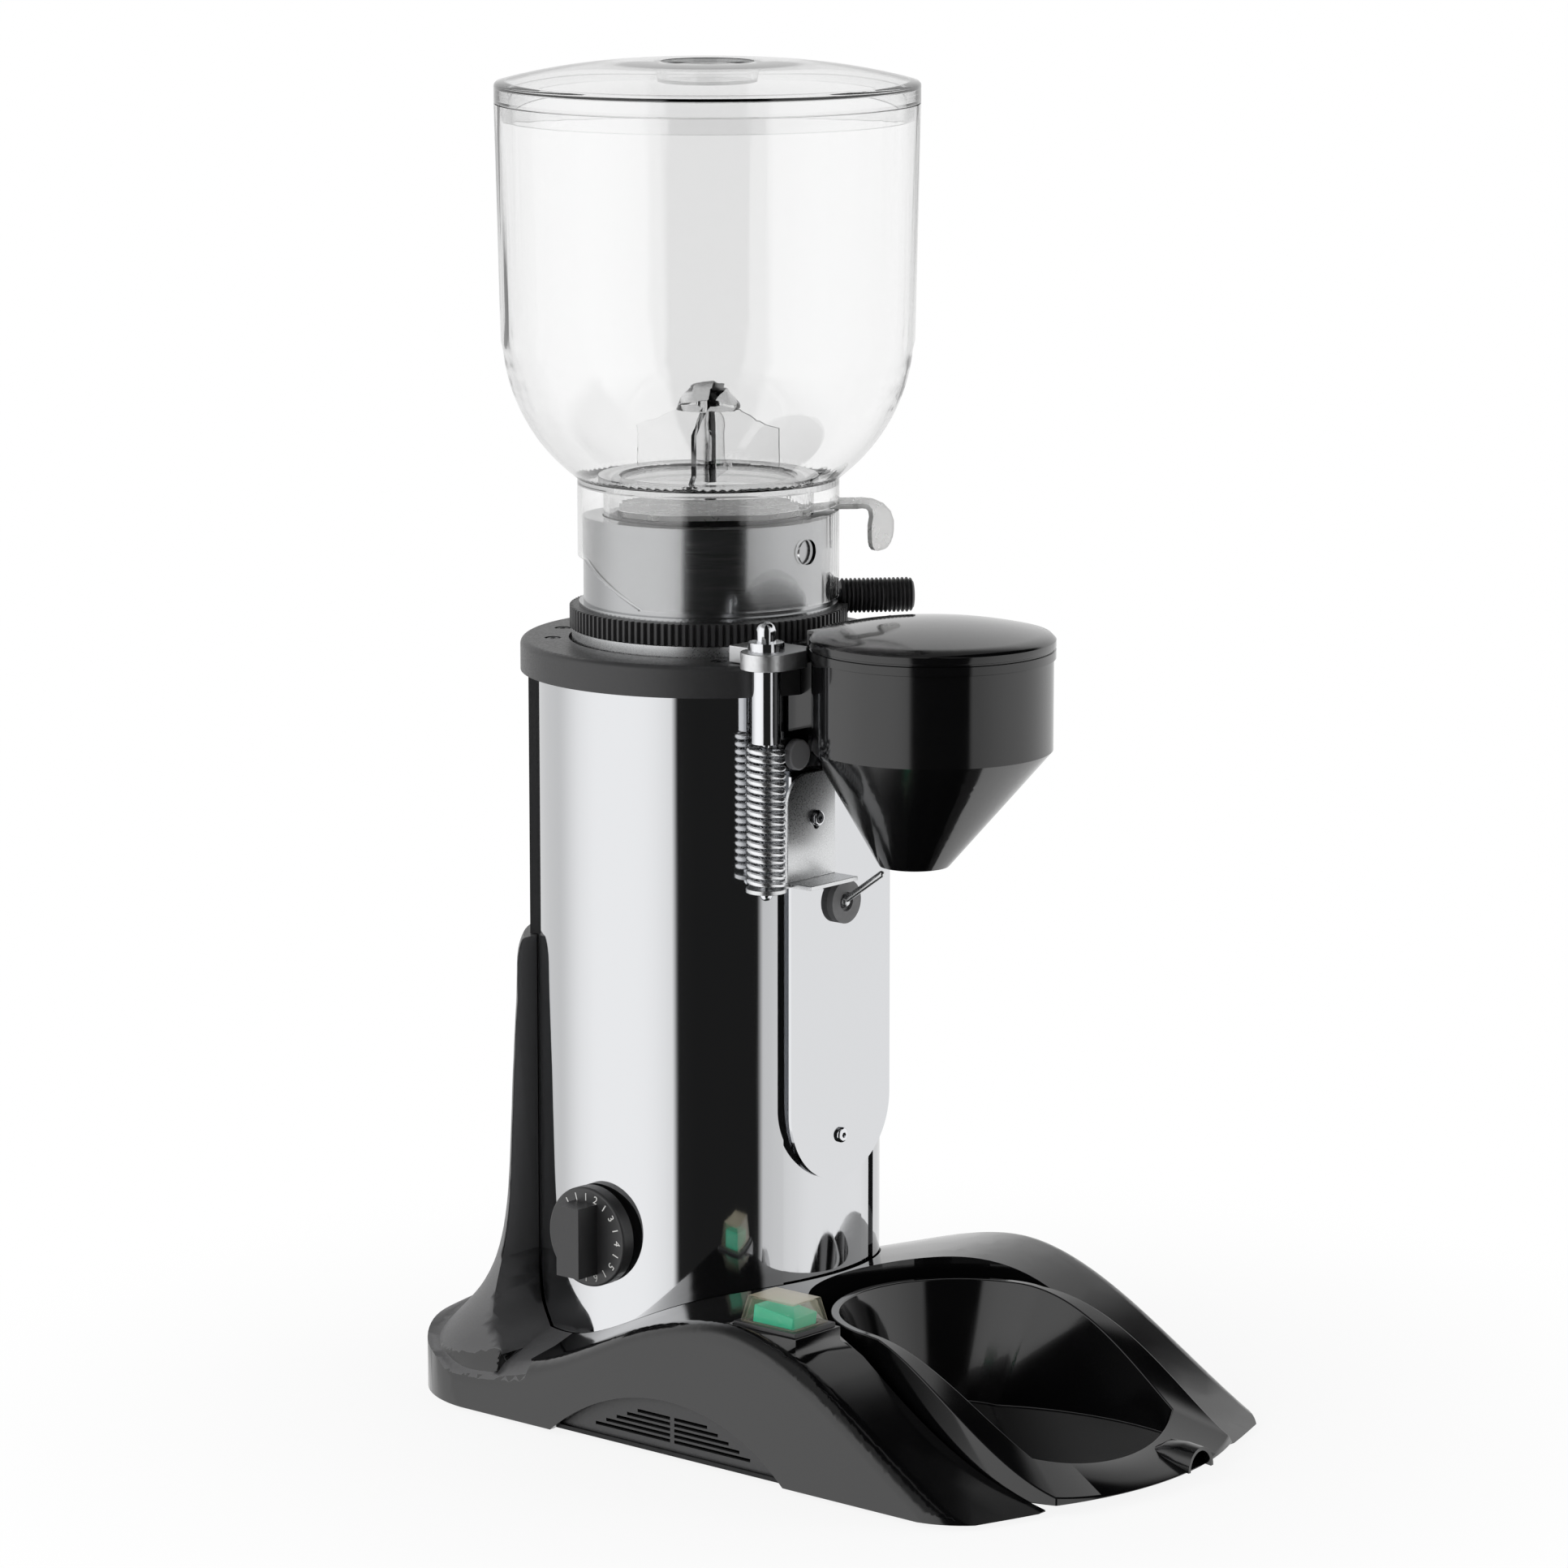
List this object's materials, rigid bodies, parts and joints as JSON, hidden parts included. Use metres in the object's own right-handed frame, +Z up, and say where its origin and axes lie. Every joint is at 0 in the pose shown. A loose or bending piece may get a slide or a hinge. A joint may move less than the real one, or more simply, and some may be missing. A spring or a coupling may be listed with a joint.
{
  "type": "burr coffee grinder",
  "caption": "Upright espresso burr grinder: polished column on a black lobed base with a grounds tray, clear bean hopper, dosing funnel, portafilter rest and timer dial.",
  "frame": {"origin": "on the table, under the middle of the part's outline seen from above", "axes": "+Z up, -Y to the front where the tray and the funnel are, -X to the side with the timer dial"},
  "size_m": [0.2376, 0.391, 0.6385],
  "materials": {
    "gloss_black": "polished moulded black",
    "satin_black": "satin black",
    "mirror_steel": "mirror polished",
    "satin_steel": "satin",
    "machine_steel": "machined",
    "satin_aluminium": "satin",
    "cast_aluminium": "as cast",
    "clear_plastic": "clear",
    "cover_plastic": "clear, cream tint",
    "rubber_black": "matt",
    "winding_wire": "lacquered wire",
    "board": "lacquered board",
    "rocker_green": "clear green",
    "knob_grey": "satin grey",
    "black_steel": "satin black paint"
  },
  "bodies": {
    "frame": {"base_shell": "gloss_black", "base_plate": "black_steel", "rubber_feet": "rubber_black", "foot_screws": "machine_steel", "vent_grille_left": "satin_black", "vent_grille_right": "satin_black", "cord_gland": "rubber_black", "column_tube": "mirror_steel", "cladding_left": "mirror_steel", "cladding_right": "mirror_steel", "rear_panel": "satin_black", "top_cap": "satin_black", "cap_screws": "black_steel", "grinding_chamber": "cast_aluminium", "thread_ring": "satin_steel", "motor_stator": "machine_steel", "stator_windings": "winding_wire", "upper_bell": "cast_aluminium", "lower_bell": "cast_aluminium", "shaft_bearings": "machine_steel", "tie_bolts": "machine_steel", "start_capacitor": "cast_aluminium", "control_board": "board", "funnel_body": "gloss_black", "chute": "gloss_black", "front_plate": "mirror_steel", "front_screws": "machine_steel", "rest_screw": "machine_steel", "post_bracket": "satin_aluminium", "guide_post": "mirror_steel", "post_nut": "mirror_steel", "rest_spring": "mirror_steel", "trigger_boot": "knob_grey", "microswitch": "satin_black", "timer_unit": "satin_black", "power_switch": "satin_black", "splash_cover": "cover_plastic"},
    "adjuster": {"adjusting_collar": "satin_aluminium", "gear_ring": "satin_black", "handle_rod": "machine_steel", "handle_grip": "satin_black", "upper_burr": "machine_steel"},
    "hopper": {"hopper_bowl": "clear_plastic", "finger_guard": "clear_plastic"},
    "gate": {"hopper_gate": "clear_plastic"},
    "hopper_cover": {"hopper_lid": "clear_plastic"},
    "rotor": {"drive_shaft": "machine_steel", "motor_rotor": "machine_steel", "cooling_fan": "satin_black", "burr_carrier": "machine_steel", "carrier_nut": "machine_steel", "lower_burr": "machine_steel"},
    "tray": {"grounds_tray": "gloss_black"},
    "funnel_cover": {"funnel_lid": "gloss_black"},
    "knob": {"thumb_knob": "knob_grey"},
    "rest": {"portafilter_rest": "satin_steel"},
    "trigger": {"trigger_lever": "satin_steel"},
    "dial": {"timer_dial": "satin_black"},
    "rocker": {"switch_rocker": "rocker_green"}
  },
  "joints": [
    {"name": "adjuster_turn", "type": "hinge", "parent": "frame", "child": "adjuster", "pos_m": [0, 0.0855, 0.372], "axis": [0, 0, 1], "range_deg": [-10, 120]},
    {"name": "hopper_lift", "type": "slide", "parent": "adjuster", "child": "hopper", "axis": [0, 0, 1], "range_m": [0, 0.08]},
    {"name": "gate_slide", "type": "slide", "parent": "hopper", "child": "gate", "axis": [0.7071, -0.7071, 0], "range_m": [0, 0.05]},
    {"name": "hopper_lid_lift", "type": "slide", "parent": "hopper", "child": "hopper_cover", "axis": [0, 0, 1], "range_m": [0, 0.06]},
    {"name": "burr_spin", "type": "hinge", "parent": "frame", "child": "rotor", "pos_m": [0, 0.0855, 0.23], "axis": [0, 0, 1], "continuous": true},
    {"name": "tray_lift", "type": "slide", "parent": "frame", "child": "tray", "axis": [0, 0, 1], "range_m": [0, 0.08]},
    {"name": "funnel_lid_lift", "type": "slide", "parent": "frame", "child": "funnel_cover", "axis": [0, 0, 1], "range_m": [0, 0.035]},
    {"name": "knob_turn", "type": "hinge", "parent": "frame", "child": "knob", "pos_m": [-0.039, -0.0005, 0.325], "axis": [0, -1, 0], "range_deg": [0, 180]},
    {"name": "rest_lift", "type": "slide", "parent": "frame", "child": "rest", "axis": [0, 0, 1], "range_m": [0, 0.003], "stiffness_N_per_m": 900, "springref_m": -0.004, "deforming": ["rest_spring"]},
    {"name": "trigger_push", "type": "hinge", "parent": "frame", "child": "trigger", "pos_m": [0, 0.00125, 0.249], "axis": [-1, 0, 0], "range_deg": [0, 6], "stiffness_Nm_per_rad": 0.05, "springref_deg": -5.73},
    {"name": "dial_turn", "type": "hinge", "parent": "frame", "child": "dial", "pos_m": [-0.0834, 0.084, 0.09], "axis": [-1, 0, 0], "range_deg": [-150, 150]},
    {"name": "rocker_tilt", "type": "hinge", "parent": "frame", "child": "rocker", "pos_m": [-0.09, -0.0393, 0.0712], "axis": [1, 0, 0], "range_deg": [-14, 0]}
  ]
}
